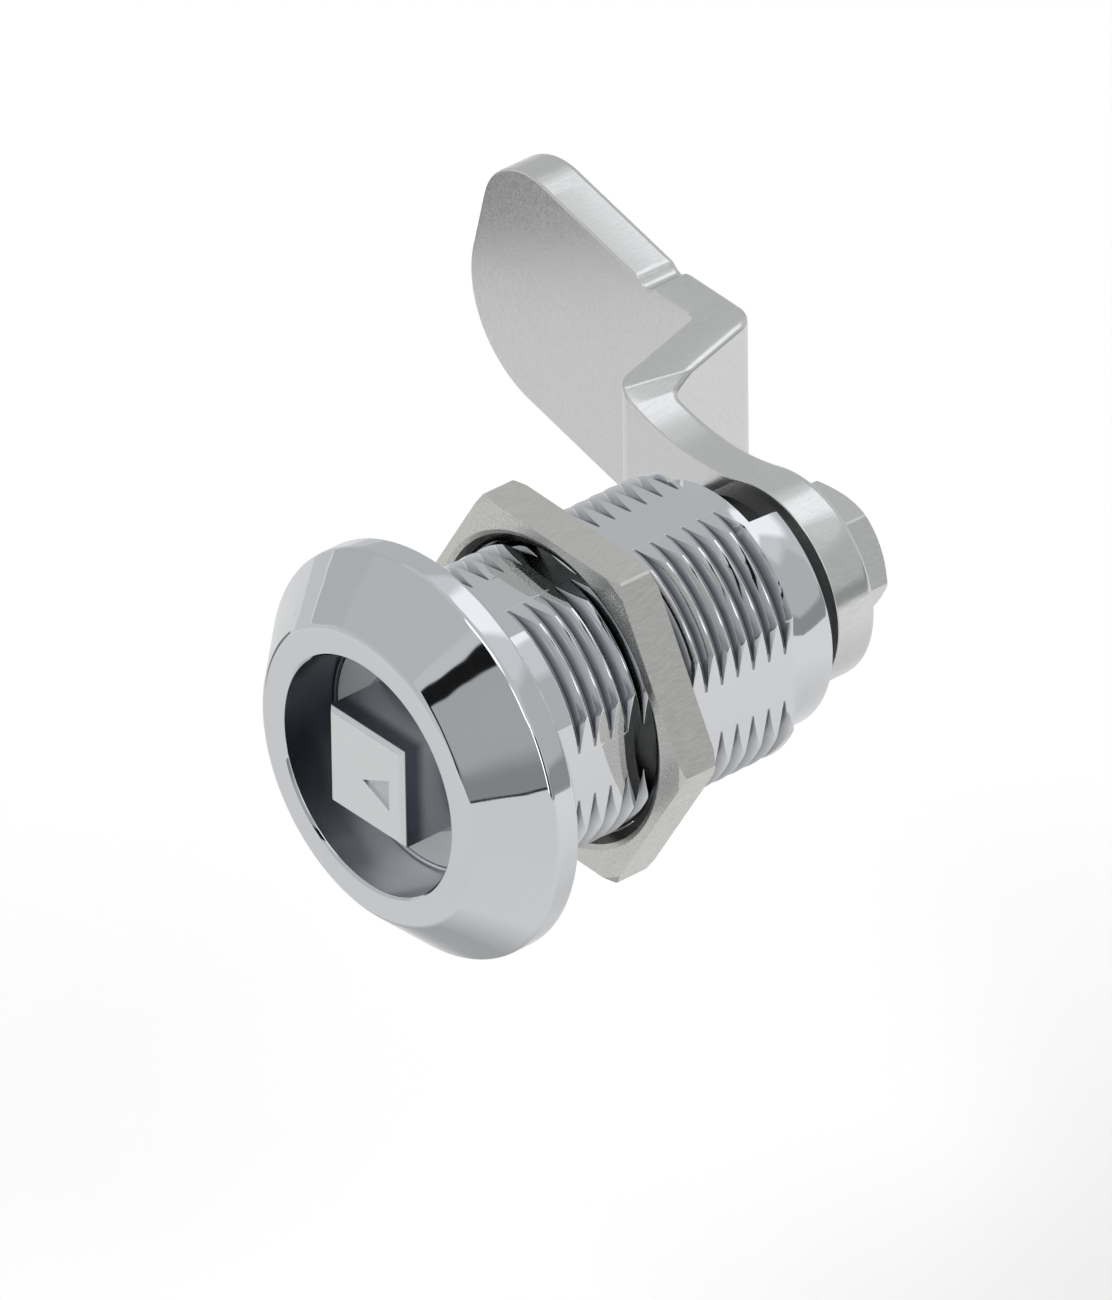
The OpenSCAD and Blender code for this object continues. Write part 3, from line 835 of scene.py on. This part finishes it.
# Each panel: middle azimuth, half width, middle elevation, half height, soft edge, brightness.
# Azimuth 0 is straight in front of the head, 90 to the right; later panels cover earlier ones.
PANELS = {
    "left_wall": (-90, 25, 15, 27, 5, 0.51),
    "left_softbox": (-35.5, 31.5, 38, 26, 2, 0.54),
    "front_grey": (26, 17, 14, 24, 2, 0.42),
    "front_low": (30, 26, -4, 8, 12, 0.26),
    "front_gap": (9, 5, 15.5, 29, 1.5, 0.01),
    "table_edge": (30, 30, -9.7, 1.1, 0.8, 0.03),
    "right_grey": (122, 34, 14, 26, 6, 0.5),
    "right_low": (122, 40, -3, 7, 5, 0.3),
    "edge_dark": (68, 8, 4, 18, 2, 0.02),
    "edge_strip": (50, 3.5, -2, 26, 1.5, 2.4),
    "edge_middle": (39, 6, 28, 9, 2, 2.2),
    "edge_high": (20, 26, 54, 8, 3, 2.0),
    "rear_left": (-125, 32, 18, 26, 8, 0.53),
    "left_table": (-95, 45, -6, 6, 0.4, 0.63),
    "left_line": (-88, 30, 0.4, 0.4, 0.4, 0.8),
    "rear_softbox": (180, 48, 60, 17, 4, 0.68),
    "rear_middle": (-172, 22, 57, 18, 8, 1.05),
}
SKY_LEVEL = 0.6
EVEN_LIGHT = 0.6


def studio_world():
    """World that is white to the camera, even to diffuse rays, and full of panels to mirrors."""
    world = bpy.data.worlds.new("studio")
    bpy.context.scene.world = world
    world.use_nodes = True
    nodes, links = world.node_tree.nodes, world.node_tree.links
    nodes.clear()
    coords = nodes.new("ShaderNodeTexCoord")
    split = nodes.new("ShaderNodeSeparateXYZ")
    links.new(coords.outputs["Generated"], split.inputs["Vector"])
    tree = world.node_tree
    back = calc(tree, "MULTIPLY", split.outputs["Y"], -1)
    azimuth = calc(tree, "DEGREES", calc(tree, "ARCTAN2", split.outputs["X"], back))
    elevation = calc(tree, "DEGREES", calc(tree, "ARCSINE", split.outputs["Z"]))
    group = panel_group()
    level = None
    for name, (at, wide, up, tall, edge, bright) in PANELS.items():
        panel = nodes.new("ShaderNodeGroup")
        panel.node_tree = group
        panel.label = name
        links.new(azimuth, panel.inputs["Azimuth"])
        links.new(elevation, panel.inputs["Elevation"])
        for socket, value in (("Middle azimuth", at), ("Half width", wide),
                              ("Middle elevation", up), ("Half height", tall), ("Edge", edge)):
            panel.inputs[socket].default_value = value
        mix = nodes.new("ShaderNodeMix")
        mix.data_type = "FLOAT"
        mix.inputs["A"].default_value = SKY_LEVEL
        mix.inputs["B"].default_value = bright
        links.new(panel.outputs["Mask"], mix.inputs["Factor"])
        if level is not None:
            links.new(level, mix.inputs["A"])
        level = mix.outputs["Result"]
    path = nodes.new("ShaderNodeLightPath")
    mirror = nodes.new("ShaderNodeBackground")
    links.new(level, mirror.inputs["Strength"])
    mirror.inputs["Color"].default_value = (0.97, 0.985, 1.0, 1)
    even = nodes.new("ShaderNodeBackground")
    even.inputs["Color"].default_value = (1, 1, 1, 1)
    even.inputs["Strength"].default_value = EVEN_LIGHT
    white = nodes.new("ShaderNodeBackground")
    white.inputs["Color"].default_value = (1, 1, 1, 1)
    first = nodes.new("ShaderNodeMixShader")
    links.new(path.outputs["Is Glossy Ray"], first.inputs["Fac"])
    links.new(even.outputs[0], first.inputs[1])
    links.new(mirror.outputs[0], first.inputs[2])
    second = nodes.new("ShaderNodeMixShader")
    links.new(path.outputs["Is Camera Ray"], second.inputs["Fac"])
    links.new(first.outputs[0], second.inputs[1])
    links.new(white.outputs[0], second.inputs[2])
    end = nodes.new("ShaderNodeOutputWorld")
    links.new(second.outputs[0], end.inputs["Surface"])


studio_world()

# %% [markdown]
# ## Floor and lamps
# The floor is a plain pale sheet well below the latch, which hangs clear of it as in the
# photograph, so its shadow is wide and faint. The camera sees the sheet white, by a faint glow
# that no other ray sees. In the mirror of the chrome it has painted shade, greyer in front than
# behind, as a table is that is lit from behind, and a painted shadow under the latch.

# %% floor and lamps
FLOOR_Z = -0.05
FLOOR_R = 0.32
FLOOR_TONE, FLOOR_GLOW = 0.75, 0.05
MIRROR_FRONT, MIRROR_REAR, MIRROR_SHADOW = 0.68, 0.80, 0.58


def pale_floor():
    """A flat disc, white to the camera, and to a mirror a painted shade from grey to pale along Y,
    times a painted shadow under the latch. The camera sees its lit colour plus the glow."""
    mesh = bpy.data.meshes.new("floor")
    turn = np.linspace(0, 2 * math.pi, 96, endpoint=False)
    rim = np.stack([FLOOR_R * np.cos(turn), FLOOR_R * np.sin(turn), 0 * turn + FLOOR_Z], axis=-1)
    mesh.from_pydata(rim.tolist(), [], [list(range(96))])
    floor = bpy.data.objects.new("floor", mesh)
    bpy.context.scene.collection.objects.link(floor)
    paper = bpy.data.materials.new("paper")
    paper.use_nodes = True
    nodes, links = paper.node_tree.nodes, paper.node_tree.links
    shader = nodes["Principled BSDF"]
    shader.inputs["Roughness"].default_value = 1.0
    shader.inputs["Specular IOR Level"].default_value = 0.0
    coords = nodes.new("ShaderNodeTexCoord")
    split = nodes.new("ShaderNodeSeparateXYZ")
    links.new(coords.outputs["Object"], split.inputs["Vector"])
    # Painted shade of the floor in the mirror: greyer in front than behind.
    fade = nodes.new("ShaderNodeMapRange")
    fade.inputs["From Min"].default_value = -0.05
    fade.inputs["From Max"].default_value = 0.09
    fade.inputs["To Min"].default_value = MIRROR_FRONT
    fade.inputs["To Max"].default_value = MIRROR_REAR
    links.new(split.outputs["Y"], fade.inputs["Value"])
    # Painted shadow under the latch, seen only in mirrors.
    apart = nodes.new("ShaderNodeVectorMath")
    apart.operation = "DISTANCE"
    apart.inputs[1].default_value = (-0.012, 0.004, FLOOR_Z)
    links.new(coords.outputs["Object"], apart.inputs[0])
    under = nodes.new("ShaderNodeMapRange")
    under.inputs["From Min"].default_value = 0.008
    under.inputs["From Max"].default_value = 0.03
    under.inputs["To Min"].default_value = MIRROR_SHADOW
    links.new(apart.outputs["Value"], under.inputs["Value"])
    tree = paper.node_tree
    dimmed = calc(tree, "MULTIPLY", fade.outputs["Result"], under.outputs["Result"])
    path = nodes.new("ShaderNodeLightPath")
    tone = nodes.new("ShaderNodeMix")
    tone.data_type = "RGBA"
    tone.inputs["A"].default_value = (FLOOR_TONE, FLOOR_TONE, FLOOR_TONE, 1)
    links.new(path.outputs["Is Glossy Ray"], tone.inputs["Factor"])
    links.new(dimmed, tone.inputs["B"])
    seen = nodes.new("ShaderNodeMix")
    seen.data_type = "RGBA"
    seen.inputs["B"].default_value = (1.0, 1.0, 1.0, 1)
    links.new(path.outputs["Is Camera Ray"], seen.inputs["Factor"])
    links.new(tone.outputs["Result"], seen.inputs["A"])
    links.new(seen.outputs["Result"], shader.inputs["Base Color"])
    glow = calc(tree, "MULTIPLY", path.outputs["Is Camera Ray"], FLOOR_GLOW)
    links.new(glow, shader.inputs["Emission Strength"])
    shader.inputs["Emission Color"].default_value = (1.0, 1.0, 1.0, 1)
    paper.cycles.emission_sampling = "NONE"
    mesh.materials.append(paper)
    return floor


def dark_card():
    """A dark sheet on the floor that only mirrors see: it gives the cam's blade its darker
    upper end. Its slanted side is the line x + 1.04 y = -121 mm."""
    rim = [(-86.6, -33), (-141.8, 20), (-240, 20), (-240, -33)]
    mesh = bpy.data.meshes.new("card")
    mesh.from_pydata([(x * MM, y * MM, FLOOR_Z + 0.0002) for x, y in rim], [], [[0, 1, 2, 3]])
    card = bpy.data.objects.new("card", mesh)
    bpy.context.scene.collection.objects.link(card)
    grey = bpy.data.materials.new("grey_card")
    grey.use_nodes = True
    shader = grey.node_tree.nodes["Principled BSDF"]
    shader.inputs["Base Color"].default_value = (0.2, 0.2, 0.195, 1)
    shader.inputs["Roughness"].default_value = 1.0
    shader.inputs["Specular IOR Level"].default_value = 0.0
    mesh.materials.append(grey)
    card.visible_camera = False
    card.visible_diffuse = False
    card.visible_shadow = False
    return card


def softbox(name, place, look_at, size, power):
    """A square area lamp that mirrors don't see, turned from its place to a point."""
    lamp = bpy.data.lights.new(name, "AREA")
    lamp.shape = "SQUARE"
    lamp.size = size
    lamp.energy = power
    box = bpy.data.objects.new(name, lamp)
    bpy.context.scene.collection.objects.link(box)
    box.location = place
    aim = np.subtract(look_at, place)
    aim = aim / np.linalg.norm(aim)
    box.rotation_mode = "QUATERNION"
    box.rotation_quaternion = Vector(aim).to_track_quat("-Z", "Y")
    box.visible_glossy = False
    return box


pale_floor()
dark_card()
softbox("key", (-0.5, -0.6, 0.9), (0, 0.01, 0), 0.8, 6.0)
softbox("fill", (0.8, 0.3, 0.7), (0, 0.01, 0), 0.7, 2.5)

# %% [markdown]
# ## The camera
# The photograph was taken from far away with a long lens, so its lines stay nearly parallel.
# The view is from the right, in front and above. Its frame is 68.3 mm wide at the latch.

# %% camera
AZIMUTH, ELEVATION, ROLL = math.radians(49.99), math.radians(33.43), math.radians(-0.80)
PIXELS_PER_MM = 16.29
DISTANCE = 1500.0
FRAME_W, FRAME_H = 1112, 1300
ORIGIN_X, ORIGIN_Y = 437.12, 742.69
MIDDLE_DEPTH = 13.7


def photo_camera():
    """Camera on the view direction, aimed so that the lock's origin falls on its pixel. The lens
    is the sensor's width times the distance over the height of the frame in mm."""
    back = Vector((math.sin(AZIMUTH) * math.cos(ELEVATION),
                   -math.cos(AZIMUTH) * math.cos(ELEVATION), math.sin(ELEVATION)))
    right = Vector((math.cos(AZIMUTH), math.sin(AZIMUTH), 0))
    up = back.cross(right)
    tilt = Matrix.Rotation(ROLL, 3, back)
    right, up = tilt @ right, tilt @ up
    across = (FRAME_W / 2 - ORIGIN_X) / PIXELS_PER_MM
    rise = (ORIGIN_Y - FRAME_H / 2) / PIXELS_PER_MM
    middle = right * across + up * rise - back * MIDDLE_DEPTH
    lens = bpy.data.cameras.new("camera")
    lens.sensor_width = 36
    lens.lens = lens.sensor_width * DISTANCE * PIXELS_PER_MM / FRAME_H
    lens.clip_start, lens.clip_end = 0.1, 10
    camera = bpy.data.objects.new("camera", lens)
    bpy.context.scene.collection.objects.link(camera)
    frame_axes = Matrix((right, up, back)).transposed().to_4x4()
    camera.matrix_world = Matrix.Translation((middle + back * DISTANCE) * MM) @ frame_axes
    bpy.context.scene.camera = camera
    print(f"camera: {lens.lens:.0f} mm lens at {DISTANCE / 1000:.1f} m")


photo_camera()
bpy.context.scene.view_settings.view_transform = "Standard"
